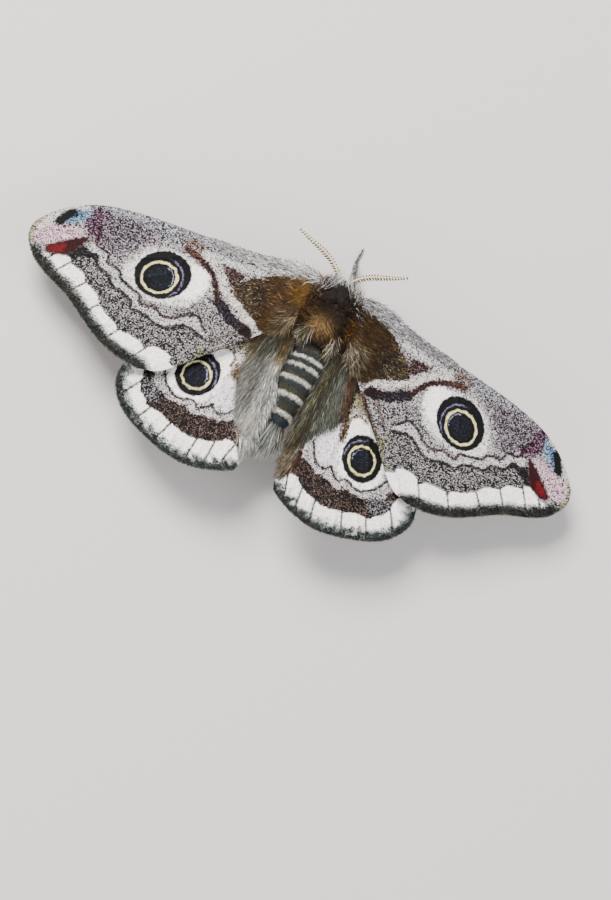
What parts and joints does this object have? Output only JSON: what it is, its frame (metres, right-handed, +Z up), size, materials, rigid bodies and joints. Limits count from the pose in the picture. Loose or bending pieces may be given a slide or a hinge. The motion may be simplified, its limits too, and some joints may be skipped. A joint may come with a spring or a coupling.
{
  "type": "emperor moth, female, still model",
  "caption": "Life-size emperor moth, female, standing with its four wings spread flat, short-toothed antennae and a thick banded abdomen.",
  "frame": {"origin": "centre of the bounding box in plan, at the floor that the feet stand on", "axes": "+X to the moth's left along the wingspan, -Y towards its head, +Z up"},
  "size_m": [0.0754, 0.037, 0.01],
  "materials": {
    "wing_scales": "matt, powdery scales",
    "body_hair": "soft long hair",
    "abdomen_hair": "soft short hair with pale rings",
    "leg_hair": "short grey hair",
    "antenna": "satin cuticle",
    "eye": "glossy, finely faceted"
  },
  "bodies": {
    "root": {"thorax": "body_hair", "head": "body_hair", "abdomen": "abdomen_hair", "forewing_L": "wing_scales", "forewing_R": "wing_scales", "hindwing_L": "wing_scales", "hindwing_R": "wing_scales", "antenna_L": "antenna", "antenna_R": "antenna", "eye_L": "eye", "eye_R": "eye", "foreleg_L": "leg_hair", "foreleg_R": "leg_hair", "midleg_L": "leg_hair", "midleg_R": "leg_hair", "hindleg_L": "leg_hair", "hindleg_R": "leg_hair"}
  },
  "joints": []
}
